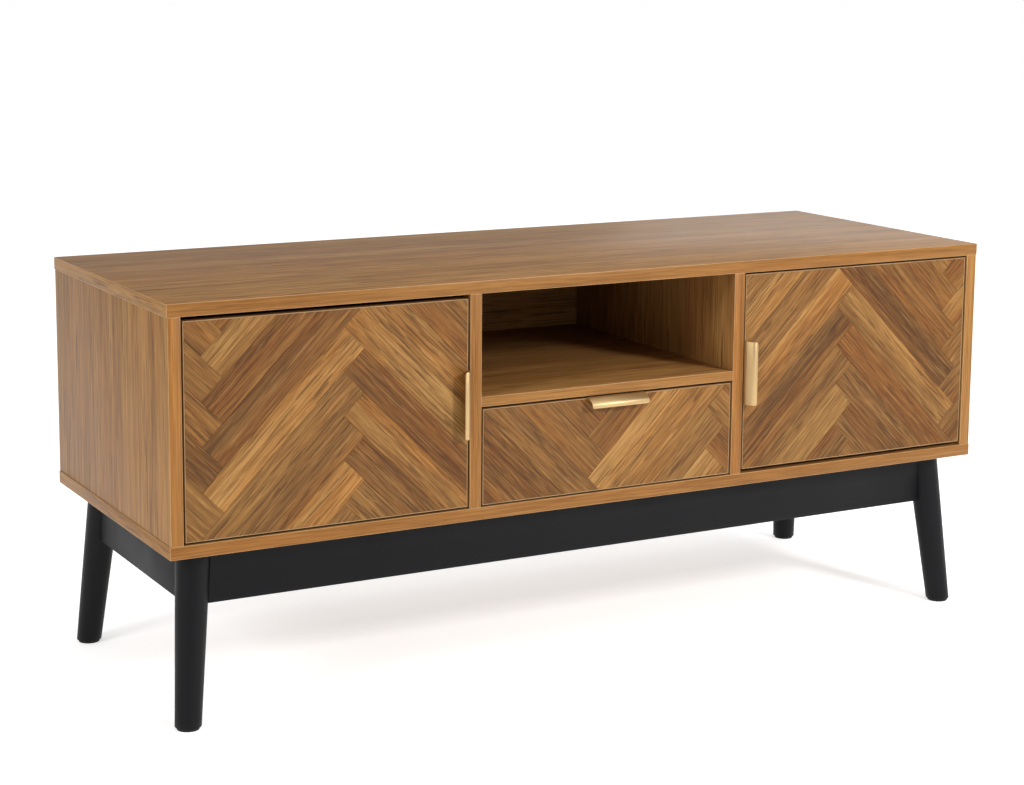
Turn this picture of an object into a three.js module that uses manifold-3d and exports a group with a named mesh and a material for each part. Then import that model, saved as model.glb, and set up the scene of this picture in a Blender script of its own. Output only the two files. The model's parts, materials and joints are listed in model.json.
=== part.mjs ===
// TV stand with two inset doors, a drawer and an open bay, on a splayed leg frame.
// Millimetres, +Z up. The origin is on the floor, under the middle of the whole stand.
// X runs along the stand, and the front looks along -Y.
import * as THREE from 'three';
import { mergeVertices } from 'three/addons/utils/BufferGeometryUtils.js';
import Module from 'manifold-3d';

const wasm = await Module();
wasm.setup();

// ---- Case ----
const WIDTH = 1120;
const DEPTH = 400;
const CASE_HEIGHT = 284;
const LEG_HEIGHT = 202;
const BOARD = 15;
const SHELF_BOARD = 12;
const SIDE_INSET = 1;
const FRONT_Y = -193.25;
const REAR_Y = FRONT_Y + DEPTH;
const FLOOR_Z = LEG_HEIGHT + BOARD;
const CEILING_Z = LEG_HEIGHT + CASE_HEIGHT - BOARD;
const SIDE_X = WIDTH / 2 - SIDE_INSET - BOARD;
const DIVIDER_X = 184;
const BAY_X = DIVIDER_X - BOARD / 2;
const SHELF_TOP_Z = LEG_HEIGHT + 147;
const SHELF_Z = SHELF_TOP_Z - SHELF_BOARD;

// ---- Back panel, in grooves ----
const BACK_BOARD = 3;
const BACK_INSET = 15;
const BACK_Y = REAR_Y - BACK_INSET;
const BACK_TONGUE = 5;
const GROOVE_DEPTH = 6;
const GROOVE_SLACK = 0.25;
const CABLE_HOLE_R = 25;
const CABLE_HOLES = [
  { x: -370, z: 344 },
  { x: -60, z: 410 },
  { x: 370, z: 344 },
];

// ---- Doors ----
const FRONT_RECESS = 1;
const DOOR_GAP = 2.5;
const DOOR_WIDTH = SIDE_X - DIVIDER_X - BOARD / 2 - 2 * DOOR_GAP;
const DOOR_HEIGHT = 246.5;
const DOOR_FACE_Y = FRONT_Y + FRONT_RECESS;
const DOORS = [
  { side: 'left', hand: 1, bottomGap: 2.5 },
  { side: 'right', hand: -1, bottomGap: 5 },
];

// ---- Edge-pull handles, bent from strip ----
// The strip reaches out of the front's face, and drops in over it from its edge.
const HANDLE_LENGTH = 80;
const HANDLE_STRIP = 1.5;
const HANDLE_TAB = 20;
const HANDLE_REACH = 14.5;
const HANDLE_DROP = 10.5;
const HANDLE_CORNER_R = 3;
const HANDLE_LIP = 3;
const HANDLE_LEAN = 30;
const SHOULDER_R = 10;
const CURL_R = 4;
const DRAWER_HANDLE_X = 6.5;

// ---- Concealed hinges ----
// P runs from the door's hinge edge into the opening, and Q runs back from the door's face.
const HINGE_FROM_END = 50;
const PIN_P = 34.75;
const PIN_Q = 18.25;
const PIN_R = 1.25;
const NOSE_R = 2;
const CHEEK_Z = 7.5;
const LINK_Z = 4.75;
const LINK_END_P = 10.25;
const LINK_END_Q = 7.25;
const LINK_SAG = 3.75;
const LINK_STRIP = 2;
const CUP_P = 21;
const CUP_R = 17.25;
const CUP_WALL = 0.7;
const CUP_FLOOR_Q = 3.5;
const FLANGE_R = 19.5;
const FLANGE = 1;
const CUP_WING_NEAR = 3;
const CUP_WING_FAR = 14;
const CUP_WING_Z = 30;
const PLATE = 2;
const PLATE_Q = [24, 78];
const PLATE_WING_Q = [34, 50];
const PLATE_WING_Z = 26;
const EYE_WALL = 1.25;
const KNUCKLE_R = 1.25;

// ---- Drawer ----
const DRAWER_FRONT_X = 174;
const DRAWER_FRONT_HEIGHT = 115;
const DRAWER_FRONT_Z = FLOOR_Z + 2;
const DRAWER_BOARD = 12;
const DRAWER_BOX_X = BAY_X - 12.5;
const DRAWER_BOX_DEPTH = 340;
const DRAWER_BOX_Z = FLOOR_Z + 16;
const DRAWER_SIDE_HEIGHT = 80;
const DRAWER_BOTTOM = 3;
const DRAWER_BOTTOM_Z = DRAWER_BOX_Z + 6;
const DRAWER_TONGUE = 4;

// ---- Roller slides ----
const RAIL_STEEL = 1.25;
const RAIL_LENGTH = 345;
const RAIL_START = 1;
const RAIL_TAIL = 6;
const CHANNEL_DROP = 3;
const RUNNER_RISE = 6;
const RAIL_FLANGE_X = 8.75;
const CHANNEL_HEIGHT = 20;
const ROLLER_R = 8;
const ROLLER_WIDTH = 6;
const ROLLER_X = 170;
const ROLLER_SLACK = 0.25;
const FRONT_ROLLER_IN = 12;
const REAR_ROLLER_IN = 10;
const AXLE_R = 2;
const AXLE_SLACK = 0.25;
const AXLE_TAIL = 1;

// ---- Leg frame ----
const LEG_TOP_R = 20;
const LEG_FOOT_R = 15.25;
const LEG_TOP_X = 517;
const LEG_FOOT_X = 534.5;
const LEG_ENDS = [
  { end: 'front', topY: -147.75, footY: -171.25 },
  { end: 'rear', topY: 158.25, footY: 181.75 },
];
const FOOT_PAD = 3;
const FOOT_PAD_R = 13;
const APRON_HEIGHT = 64;
const APRON_BOARD = 18;
const FIT_GAP = 0.3;
const BLOCK_HEIGHT = 40;
const BOLT_R = 4;
const BOLT_DEPTH = 8;
const BOLT_HEAD_AT = 50;
const BOLT_HEAD_R = 7.2;
const BOLT_HEAD = 6;
const BLOCK_NEAR = 17;
const BLOCK_FAR = 52;

const COLOURS = {
  laminate: [0xa9865d, 0.55, 0],
  veneer: [0x9a6c42, 0.5, 0],
  blackWood: [0x1e1e20, 0.45, 0],
  brass: [0xc9a56c, 0.35, 0.9],
  zinc: [0xa8abad, 0.35, 0.9],
  drawerBoard: [0xd9cbb3, 0.6, 0],
  whiteSteel: [0xdedfdd, 0.45, 0.3],
  nylon: [0xf2f1ec, 0.5, 0],
  backBoard: [0xa27e56, 0.65, 0],
  pad: [0x2a2a2a, 0.9, 0],
};

function mesh(name, geometry, look, position = [0, 0, 0]) {
  const [color, roughness, metalness] = COLOURS[look];
  const piece = new THREE.Mesh(geometry, new THREE.MeshStandardMaterial({ color, roughness, metalness }));
  piece.name = name;
  piece.position.set(...position);
  return piece;
}

// ---- Solids ----

function toSolid(geometry) {
  const bare = geometry.clone();
  bare.deleteAttribute('normal');
  bare.deleteAttribute('uv');
  const merged = mergeVertices(bare, 1e-4);
  return new wasm.Manifold(new wasm.Mesh({
    numProp: 3,
    vertProperties: new Float32Array(merged.attributes.position.array),
    triVerts: new Uint32Array(merged.index.array),
  }));
}

function toGeometry(solid) {
  const data = solid.getMesh();
  const geometry = new THREE.BufferGeometry();
  geometry.setAttribute('position', new THREE.BufferAttribute(new Float32Array(data.vertProperties), 3));
  geometry.setIndex(new THREE.BufferAttribute(new Uint32Array(data.triVerts), 1));
  geometry.computeVertexNormals();
  return geometry;
}

function join(...geometries) {
  return toGeometry(geometries.map(toSolid).reduce((whole, next) => whole.add(next)));
}

function cut(geometry, ...tools) {
  return toGeometry(tools.map(toSolid).reduce((left, tool) => left.subtract(tool), toSolid(geometry)));
}

function common(first, second) {
  return toGeometry(toSolid(first).intersect(toSolid(second)));
}

// A box from its lowest to its highest corner. Each pair of ends may come in either order.
function block([x0, x1], [y0, y1], [z0, z1]) {
  const geometry = new THREE.BoxGeometry(Math.abs(x1 - x0), Math.abs(y1 - y0), Math.abs(z1 - z0));
  return geometry.translate((x0 + x1) / 2, (y0 + y1) / 2, (z0 + z1) / 2);
}

// A round bar along one axis, from one end to the other, at two coordinates on the other axes.
function bar(axis, radius, [from, to], [a, b], segments = 24) {
  const geometry = new THREE.CylinderGeometry(radius, radius, Math.abs(to - from), segments);
  const middle = (from + to) / 2;
  if (axis === 'x') {
    return geometry.rotateZ(Math.PI / 2).translate(middle, a, b);
  }
  if (axis === 'y') {
    return geometry.translate(a, middle, b);
  }
  return geometry.rotateX(Math.PI / 2).translate(a, b, middle);
}

// An outline in the XY plane, drawn out along Z from z0 to z1.
function prism(points, [z0, z1]) {
  const shape = new THREE.Shape(points.map(([x, y]) => new THREE.Vector2(x, y)));
  return new THREE.ExtrudeGeometry(shape, { depth: z1 - z0, bevelEnabled: false }).translate(0, 0, z0);
}

// The outline of a strip of even thickness that follows a centre line, with mitred corners.
function stripOutline(centreLine, thickness) {
  const normals = centreLine.slice(1).map(([x, y], index) => {
    const [fromX, fromY] = centreLine[index];
    const length = Math.hypot(x - fromX, y - fromY);
    return [(fromY - y) / length, (x - fromX) / length];
  });
  const offset = (index, side) => {
    const before = normals[Math.max(index - 1, 0)];
    const after = normals[Math.min(index, normals.length - 1)];
    const scale = side * thickness / 2 / (1 + before[0] * after[0] + before[1] * after[1]);
    const [x, y] = centreLine[index];
    return [x + scale * (before[0] + after[0]), y + scale * (before[1] + after[1])];
  };
  const indices = centreLine.map((_, index) => index);
  return [...indices.map((i) => offset(i, 1)), ...indices.reverse().map((i) => offset(i, -1))];
}

function arc([cx, cy], radius, fromDegrees, toDegrees, steps) {
  return Array.from({ length: steps + 1 }, (_, step) => {
    const angle = THREE.MathUtils.degToRad(fromDegrees + (toDegrees - fromDegrees) * step / steps);
    return [cx + radius * Math.cos(angle), cy + radius * Math.sin(angle)];
  });
}

// ---- Case ----

function buildCase() {
  const group = new THREE.Group();
  const wide = [-WIDTH / 2, WIDTH / 2];
  const deep = [FRONT_Y, REAR_Y];
  const grooveY = [BACK_Y - GROOVE_SLACK, BACK_Y + BACK_BOARD + GROOVE_SLACK];
  const grooveX = [-SIDE_X - GROOVE_DEPTH, SIDE_X + GROOVE_DEPTH];

  const top = block(wide, deep, [CEILING_Z, CEILING_Z + BOARD]);
  const topGroove = block(grooveX, grooveY, [CEILING_Z - 1, CEILING_Z + GROOVE_DEPTH]);
  group.add(mesh('top_panel', cut(top, topGroove), 'laminate'));
  const bottom = block(wide, deep, [LEG_HEIGHT, FLOOR_Z]);
  const bottomGroove = block(grooveX, grooveY, [FLOOR_Z - GROOVE_DEPTH, FLOOR_Z + 1]);
  group.add(mesh('bottom_panel', cut(bottom, bottomGroove), 'laminate'));

  for (const { side, hand } of DOORS) {
    const inner = -hand * SIDE_X;
    const outer = inner - hand * BOARD;
    const panel = block([inner, outer], deep, [FLOOR_Z, CEILING_Z]);
    const groove = block([inner + hand, inner - hand * GROOVE_DEPTH], grooveY, [FLOOR_Z - 1, CEILING_Z + 1]);
    group.add(mesh(`side_panel_${side}`, cut(panel, groove), 'laminate'));

    const dividerX = -hand * DIVIDER_X;
    const divider = block(
      [dividerX - BOARD / 2, dividerX + BOARD / 2],
      [FRONT_Y, BACK_Y - GROOVE_SLACK],
      [FLOOR_Z, CEILING_Z],
    );
    group.add(mesh(`divider_${side}`, divider, 'laminate'));
  }

  const shelf = block([-BAY_X, BAY_X], [FRONT_Y, BACK_Y - GROOVE_SLACK], [SHELF_Z, SHELF_TOP_Z]);
  group.add(mesh('shelf', shelf, 'laminate'));

  const back = block(
    [-SIDE_X - BACK_TONGUE, SIDE_X + BACK_TONGUE],
    [BACK_Y, BACK_Y + BACK_BOARD],
    [FLOOR_Z - BACK_TONGUE, CEILING_Z + BACK_TONGUE],
  );
  const through = [BACK_Y - 1, BACK_Y + BACK_BOARD + 1];
  const holes = CABLE_HOLES.map(({ x, z }) => bar('y', CABLE_HOLE_R, through, [x, z], 32));
  group.add(mesh('back_panel', cut(back, ...holes), 'backBoard'));
  return group;
}

// ---- Handles ----

// The strip's centre line runs up the back of the front, over its edge, and curls out over its face.
// Local X goes from the edge in over the face, -Y out of the face, and Z along the handle.
function handle() {
  const half = HANDLE_STRIP / 2;
  const web = -half;
  const centreLine = [
    [HANDLE_TAB, BOARD + half],
    [web, BOARD + half],
    ...arc([web + SHOULDER_R, -1], SHOULDER_R, 180, 180 + HANDLE_LEAN, 3),
    ...arc([HANDLE_DROP - HANDLE_LIP, half + CURL_R - HANDLE_REACH], CURL_R, 180 + HANDLE_LEAN, 270, 4),
    [HANDLE_DROP, half - HANDLE_REACH],
  ];
  const strip = prism(stripOutline(centreLine, HANDLE_STRIP), [-HANDLE_LENGTH / 2, HANDLE_LENGTH / 2]);
  const r = HANDLE_CORNER_R;
  const end = HANDLE_LENGTH / 2;
  const face = [
    [-HANDLE_STRIP - 1, -end],
    ...arc([HANDLE_DROP - r, -end + r], r, -90, 0, 6),
    ...arc([HANDLE_DROP - r, end - r], r, 0, 90, 6),
    [-HANDLE_STRIP - 1, end],
  ];
  const rounded = prism(face, [-1, HANDLE_REACH + 1]).rotateX(Math.PI / 2);
  const tab = block([-HANDLE_STRIP - 1, HANDLE_TAB + 1], [1, BOARD + 5], [-end, end]);
  return common(strip, join(rounded, tab));
}

// ---- Doors and concealed hinges ----

function cupParts(hand, z) {
  const centre = [hand * CUP_P, z];
  const body = bar('y', CUP_R, [CUP_FLOOR_Q, BOARD], centre, 40);
  const flange = bar('y', FLANGE_R, [BOARD, BOARD + FLANGE], centre, 40);
  const wings = block(
    [hand * (CUP_P - CUP_WING_NEAR), hand * (CUP_P + CUP_WING_FAR)],
    [BOARD, BOARD + FLANGE],
    [z - CUP_WING_Z, z + CUP_WING_Z],
  );
  const inside = bar('y', CUP_R - CUP_WALL, [CUP_FLOOR_Q + 1, BOARD + 2 * FLANGE], centre, 40);
  return {
    cup: cut(join(body, flange, wings), inside),
    bore: bar('y', CUP_R + FIT_GAP, [CUP_FLOOR_Q - FIT_GAP, BOARD + 1], centre, 40),
  };
}

function hingeArm(hand, z) {
  const wall = -DOOR_GAP;
  const plateTop = wall + PLATE;
  const profile = [
    [plateTop, 76],
    [plateTop, 24],
    [6, 19],
    ...arc([PIN_P, PIN_Q], NOSE_R, -100, 60, 8),
    [30, 30],
    [14, 42],
    [9, 50],
    [9, 76],
  ];
  const body = prism(profile.map(([p, q]) => [hand * p, q]), [z - CHEEK_Z, z + CHEEK_Z]);
  const slot = block([hand * 3, hand * (PIN_P + 5)], [12, 34], [z - LINK_Z - 0.5, z + LINK_Z + 0.5]);
  const pin = bar('z', PIN_R, [z - CHEEK_Z + 1, z + CHEEK_Z - 1], [hand * PIN_P, PIN_Q], 16);
  const plateP = [hand * wall, hand * plateTop];
  const base = block(plateP, PLATE_Q, [z - CHEEK_Z - 1, z + CHEEK_Z + 1]);
  const wings = block(plateP, PLATE_WING_Q, [z - PLATE_WING_Z, z + PLATE_WING_Z]);
  return join(cut(body, slot), pin, base, wings);
}

function hingeLink(hand, z) {
  const steps = 8;
  const along = [LINK_END_P - PIN_P, LINK_END_Q - PIN_Q];
  const length = Math.hypot(...along);
  const normal = [-along[1] / length, along[0] / length];
  const centreLine = Array.from({ length: steps + 1 }, (_, step) => {
    const t = step / steps;
    const sag = 4 * LINK_SAG * t * (1 - t);
    return [PIN_P + along[0] * t + normal[0] * sag, PIN_Q + along[1] * t + normal[1] * sag];
  });
  const outline = stripOutline(centreLine, LINK_STRIP).map(([p, q]) => [hand * p, q]);
  const span = [z - LINK_Z, z + LINK_Z];
  const strip = prism(outline, span);
  const eye = bar('z', PIN_R + EYE_WALL, span, [hand * PIN_P, PIN_Q], 20);
  const knuckleZ = [z - LINK_Z - 1.5, z + LINK_Z + 1.5];
  const knuckle = bar('z', KNUCKLE_R, knuckleZ, [hand * LINK_END_P, LINK_END_Q], 16);
  const hole = bar('z', PIN_R + 0.2, [z - LINK_Z - 1, z + LINK_Z + 1], [hand * PIN_P, PIN_Q], 16);
  return cut(join(strip, eye, knuckle), hole);
}

// Local X is p for the left door and -p for the right one.
// Local Y is q, and local Z starts at the door's foot.
function buildDoor({ side, hand, bottomGap }) {
  const group = new THREE.Group();
  group.position.set(-hand * (SIDE_X - DOOR_GAP), DOOR_FACE_Y, FLOOR_Z + bottomGap);
  const levels = [
    { level: 'lower', z: HINGE_FROM_END },
    { level: 'upper', z: DOOR_HEIGHT - HINGE_FROM_END },
  ];
  const hinges = levels.map(({ level, z }) => ({ level, z, ...cupParts(hand, z) }));

  const leaf = block([0, hand * DOOR_WIDTH], [0, BOARD], [0, DOOR_HEIGHT]);
  group.add(mesh(`door_${side}`, cut(leaf, ...hinges.map(({ bore }) => bore)), 'veneer'));
  for (const { level, z, cup } of hinges) {
    group.add(mesh(`hinge_cup_${side}_${level}`, cup, 'zinc'));
    group.add(mesh(`hinge_arm_${side}_${level}`, hingeArm(hand, z), 'zinc'));
    group.add(mesh(`hinge_link_${side}_${level}`, hingeLink(hand, z), 'zinc'));
  }

  const pull = mesh(`handle_door_${side}`, handle(), 'brass', [hand * DOOR_WIDTH, 0, DOOR_HEIGHT / 2]);
  pull.rotation.y = hand > 0 ? Math.PI : 0;
  group.add(pull);
  return group;
}

// ---- Drawer and its slides ----

function buildDrawer() {
  const group = new THREE.Group();
  const boxFrontY = DOOR_FACE_Y + BOARD;
  const boxRearY = boxFrontY + DRAWER_BOX_DEPTH;
  const innerX = DRAWER_BOX_X - DRAWER_BOARD;
  const sideZ = [DRAWER_BOX_Z, DRAWER_BOX_Z + DRAWER_SIDE_HEIGHT];

  const front = block(
    [-DRAWER_FRONT_X, DRAWER_FRONT_X],
    [DOOR_FACE_Y, boxFrontY],
    [DRAWER_FRONT_Z, DRAWER_FRONT_Z + DRAWER_FRONT_HEIGHT],
  );
  group.add(mesh('drawer_front', front, 'veneer'));

  for (const [side, sign] of [['left', -1], ['right', 1]]) {
    const board = block([sign * innerX, sign * DRAWER_BOX_X], [boxFrontY, boxRearY], sideZ);
    const groove = block(
      [sign * (innerX - 1), sign * (innerX + DRAWER_TONGUE + GROOVE_SLACK)],
      [boxFrontY - 1, boxRearY + 1],
      [DRAWER_BOTTOM_Z - GROOVE_SLACK, DRAWER_BOTTOM_Z + DRAWER_BOTTOM + GROOVE_SLACK],
    );
    group.add(mesh(`drawer_side_${side}`, cut(board, groove), 'drawerBoard'));
  }

  const bottomTop = DRAWER_BOTTOM_Z + DRAWER_BOTTOM;
  const bottom = block(
    [-innerX - DRAWER_TONGUE, innerX + DRAWER_TONGUE],
    [boxFrontY, boxRearY],
    [DRAWER_BOTTOM_Z, bottomTop],
  );
  group.add(mesh('drawer_bottom', bottom, 'drawerBoard'));
  const back = block([-innerX, innerX], [boxRearY - DRAWER_BOARD, boxRearY], [bottomTop, sideZ[1]]);
  group.add(mesh('drawer_back', back, 'drawerBoard'));

  const handleZ = DRAWER_FRONT_Z + DRAWER_FRONT_HEIGHT;
  const pull = mesh('handle_drawer', handle(), 'brass', [DRAWER_HANDLE_X, DOOR_FACE_Y, handleZ]);
  pull.rotation.y = Math.PI / 2;
  group.add(pull);
  return group;
}

// A drawer rail wraps the foot of the drawer's side and runs on the cabinet rail's front roller.
// Its own rear roller runs inside the cabinet rail's channel.
function buildSlides() {
  const group = new THREE.Group();
  const frontY = DOOR_FACE_Y + BOARD + RAIL_START;
  const rearY = frontY + RAIL_LENGTH;
  const channelZ = DRAWER_BOX_Z - CHANNEL_DROP;
  const channelTop = channelZ + CHANNEL_HEIGHT;
  const runnerZ = channelTop + RUNNER_RISE;
  const rollers = {
    front: { y: frontY + FRONT_ROLLER_IN, z: runnerZ - ROLLER_SLACK - ROLLER_R },
    rear: {
      y: DOOR_FACE_Y + BOARD + DRAWER_BOX_DEPTH - REAR_ROLLER_IN,
      z: channelZ + RAIL_STEEL + ROLLER_SLACK + ROLLER_R,
    },
  };
  const channelY = rollers.front.y + ROLLER_R + 2;
  const channel = [channelY, rearY];
  const runner = [frontY, rollers.rear.y + RAIL_TAIL];
  const underZ = DRAWER_BOX_Z - RAIL_STEEL;
  const webX = BAY_X - RAIL_STEEL;
  const runnerX = DRAWER_BOX_X + RAIL_STEEL;
  const rollerX = [ROLLER_X - ROLLER_WIDTH / 2, ROLLER_X + ROLLER_WIDTH / 2];
  const axleTip = { front: rollerX[0] - AXLE_TAIL, rear: rollerX[1] + AXLE_TAIL };

  for (const [side, sign] of [['left', -1], ['right', 1]]) {
    const across = (a, b) => [sign * a, sign * b];
    const axle = (end, root) => {
      const { y, z } = rollers[end];
      return bar('x', AXLE_R, across(axleTip[end], root), [y, z], 16);
    };
    const flange = across(webX - RAIL_FLANGE_X, webX);
    group.add(mesh(`cabinet_rail_${side}`, join(
      block(across(webX, BAY_X), [frontY, rearY], [channelZ, channelTop]),
      block(across(webX, BAY_X), [frontY, channelY], [channelZ, runnerZ]),
      block(flange, channel, [channelZ, channelZ + RAIL_STEEL]),
      block(flange, channel, [channelTop - RAIL_STEEL, channelTop]),
      axle('front', webX + RAIL_STEEL / 2),
    ), 'whiteSteel'));
    group.add(mesh(`drawer_rail_${side}`, join(
      block(across(DRAWER_BOX_X, runnerX), runner, [underZ, runnerZ + RAIL_STEEL]),
      block(across(DRAWER_BOX_X - DRAWER_BOARD, runnerX), [frontY, rollers.rear.y], [underZ, DRAWER_BOX_Z]),
      block(across(runnerX, axleTip.rear), runner, [runnerZ, runnerZ + RAIL_STEEL]),
      axle('rear', runnerX - RAIL_STEEL / 2),
    ), 'whiteSteel'));

    for (const [end, { y, z }] of Object.entries(rollers)) {
      const wheel = bar('x', ROLLER_R, across(...rollerX), [y, z], 32);
      const bore = bar('x', AXLE_R + AXLE_SLACK, across(rollerX[0] - 1, rollerX[1] + 1), [y, z], 16);
      group.add(mesh(`roller_${end}_${side}`, cut(wheel, bore), 'nylon'));
    }
  }
  return group;
}

// ---- Leg frame ----

// A tapered round bar that leans, with level ends, grown by a clearance all round.
function taper(topX, topY, footX, footY, grow = 0) {
  const height = LEG_HEIGHT - FOOT_PAD;
  const upright = new THREE.CylinderGeometry(LEG_TOP_R + grow, LEG_FOOT_R + grow, height, 40);
  const lean = new THREE.Matrix4().set(
    1, 0, (topX - footX) / height, (topX + footX) / 2,
    0, 1, (topY - footY) / height, (topY + footY) / 2,
    0, 0, 1, FOOT_PAD + height / 2,
    0, 0, 0, 1,
  );
  return upright.rotateX(Math.PI / 2).applyMatrix4(lean);
}

// Where a leg's axis is at a height, between its foot and its top.
function legAxis({ topY, footY }, z) {
  const rise = z / LEG_HEIGHT;
  return [LEG_FOOT_X + (LEG_TOP_X - LEG_FOOT_X) * rise, footY + (topY - footY) * rise];
}

function buildLegFrame() {
  const group = new THREE.Group();
  const apronZ = [LEG_HEIGHT - APRON_HEIGHT, LEG_HEIGHT];
  const apronMidZ = LEG_HEIGHT - APRON_HEIGHT / 2;
  const quarter = (value) => Math.round(value * 4) / 4;
  const clearances = [];

  for (const legEnd of LEG_ENDS) {
    const [axisX, axisY] = legAxis(legEnd, apronMidZ);
    const inwardY = -Math.sign(legEnd.topY);
    for (const [side, sign] of [['left', -1], ['right', 1]]) {
      const corner = `${legEnd.end}_${side}`;
      const legArguments = [sign * LEG_TOP_X, legEnd.topY, sign * LEG_FOOT_X, legEnd.footY];
      clearances.push(taper(...legArguments, FIT_GAP));

      // The bolt runs level, at 45 degrees, from inside the corner block into the leg.
      const bolt = (radius, [from, to], segments) => bar('y', radius, [from, to], [0, 0], segments)
        .rotateZ(sign * inwardY * Math.PI / 4)
        .translate(sign * axisX, axisY, apronMidZ);
      const diagonal = (from, to) => [inwardY * from, inwardY * to];
      const shank = bolt(BOLT_R, diagonal(-BOLT_DEPTH, BOLT_HEAD_AT + 2), 16);
      const head = bolt(BOLT_HEAD_R, diagonal(BOLT_HEAD_AT, BOLT_HEAD_AT + BOLT_HEAD), 6);
      const bore = bolt(BOLT_R + FIT_GAP, diagonal(-BOLT_DEPTH - 1, BOLT_HEAD_AT + 20), 16);
      group.add(mesh(`leg_${corner}`, cut(taper(...legArguments), bore), 'blackWood'));
      group.add(mesh(`leg_bolt_${corner}`, join(shank, head), 'zinc'));

      const pad = bar('z', FOOT_PAD_R, [0, FOOT_PAD], [sign * LEG_FOOT_X, legEnd.footY], 32);
      group.add(mesh(`foot_pad_${corner}`, pad, 'pad'));

      const insideX = quarter(axisX) - APRON_BOARD / 2;
      const insideY = quarter(axisY) + inwardY * APRON_BOARD / 2;
      const ends = [[BLOCK_NEAR, 0], [BLOCK_FAR, 0], [0, BLOCK_FAR], [0, BLOCK_NEAR]];
      const outline = ends.map(([alongX, alongY]) => [
        sign * (insideX - alongX),
        insideY + inwardY * alongY,
      ]);
      const wedge = prism(outline, [apronMidZ - BLOCK_HEIGHT / 2, apronMidZ + BLOCK_HEIGHT / 2]);
      group.add(mesh(`corner_block_${corner}`, cut(wedge, bore), 'blackWood'));
    }
  }

  const x = quarter(legAxis(LEG_ENDS[0], apronMidZ)[0]);
  const [frontY, rearY] = LEG_ENDS.map((legEnd) => quarter(legAxis(legEnd, apronMidZ)[1]));
  const half = APRON_BOARD / 2;
  for (const [name, y] of [['front', frontY], ['rear', rearY]]) {
    const board = block([-x, x], [y - half, y + half], apronZ);
    group.add(mesh(`apron_${name}`, cut(board, ...clearances), 'blackWood'));
  }
  for (const [name, sign] of [['left', -1], ['right', 1]]) {
    const board = block([sign * (x - half), sign * (x + half)], [frontY, rearY], apronZ);
    group.add(mesh(`apron_${name}`, cut(board, ...clearances), 'blackWood'));
  }
  return group;
}

const stand = new THREE.Group();
stand.add(buildCase(), ...DOORS.map(buildDoor), buildDrawer(), buildSlides(), buildLegFrame());

export default stand;
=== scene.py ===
"""Looks for a TV stand with herringbone doors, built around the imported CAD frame. Metres, +Z up."""
import json
import math
import random

import bmesh
import bpy
from mathutils import Matrix, Vector


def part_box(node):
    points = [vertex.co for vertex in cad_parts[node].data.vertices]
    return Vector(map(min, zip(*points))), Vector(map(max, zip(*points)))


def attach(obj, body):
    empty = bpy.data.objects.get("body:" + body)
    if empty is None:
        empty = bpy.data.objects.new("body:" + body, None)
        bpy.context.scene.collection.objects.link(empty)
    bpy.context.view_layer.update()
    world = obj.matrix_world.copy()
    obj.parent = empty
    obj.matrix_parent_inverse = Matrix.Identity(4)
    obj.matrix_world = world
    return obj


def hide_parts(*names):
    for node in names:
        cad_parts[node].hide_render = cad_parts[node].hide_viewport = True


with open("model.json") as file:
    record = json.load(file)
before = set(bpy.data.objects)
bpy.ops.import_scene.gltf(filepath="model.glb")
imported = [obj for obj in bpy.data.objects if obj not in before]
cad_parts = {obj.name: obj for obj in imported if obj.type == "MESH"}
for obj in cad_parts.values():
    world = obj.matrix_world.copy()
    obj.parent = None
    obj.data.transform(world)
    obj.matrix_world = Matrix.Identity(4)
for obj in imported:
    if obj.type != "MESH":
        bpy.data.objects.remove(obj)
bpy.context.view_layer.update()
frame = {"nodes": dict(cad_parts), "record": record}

NODE_BODY = {
    node: body
    for body, nodes in frame["record"]["behaviour"]["bodies"].items()
    for node in nodes
}

# ---- Sizes ----
BOARD_EDGE = 0.0006        # rounding on the case boards' edges
STEEL_EDGE = 0.0003        # rounding on bent steel and brass
BLOCK_EDGE = 0.0012        # rounding on the black painted wood
EDGE_BAND = 0.0010         # edge strip round each door and the drawer front
FACING = 0.0008            # herringbone boards stand this far off the door's core
BOARD_WIDTH = 0.0358       # one herringbone board
BOARD_LENGTH = 0.2406
BOARD_JOINT = 0.00022      # half the groove between two herringbone boards
BOARD_CHAMFER = 1.4 * BOARD_JOINT
LEG_TOP_R = 0.020
LEG_FOOT_R = 0.01525
LEG_SEGMENTS = 96
LEG_RINGS = 24
FOOT_SOFTNESS = 0.0008     # radius lost at the very bottom of a leg
STRIP_CORNER = 0.0004      # rounding on the edge strips round the fronts
BUMP_DEPTH = 0.0002        # how deep the materials' fine bump is
MERGE = 1e-6               # coordinates of CAD corners closer than this are the same
FLAT_ANGLE = 0.5           # faces that meet at less than this many degrees are one flat face
SHARP_ANGLE = 30           # edges that turn by more than this many degrees are rounded
SMOOTH_ANGLE = 35          # faces that meet at less than this many degrees are shaded smooth
END_GRAIN = 0.7            # a face is a board's end when its normal runs this much along the grain
GRAIN_STEP = 3.7           # keeps one board's grain away from the next one's
SIDE_STEP = 0.37           # keeps the grain on one side of a board away from the next side's
CORE_GRAIN = 11.3          # where the grain starts on the fronts' cores
STRIP_GRAIN = 29.1         # where it starts on their edge strips
FORWARD = -0.3             # a face looks forward when its normal's Y is less than this
EDGING_Y = -0.18           # the forward faces in front of this carry the edge strip


# ---- Mesh helpers ----

def new_piece(name, bm, smooth_below=SMOOTH_ANGLE):
    """A new object from a bmesh, shaded smooth where its faces meet at less than an angle in degrees."""
    mesh = bpy.data.meshes.new(name)
    bm.to_mesh(mesh)
    bm.free()
    mesh.polygons.foreach_set("use_smooth", [True] * len(mesh.polygons))
    mesh.set_sharp_from_angle(angle=math.radians(smooth_below))
    piece = bpy.data.objects.new(name, mesh)
    bpy.context.scene.collection.objects.link(piece)
    return piece


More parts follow.
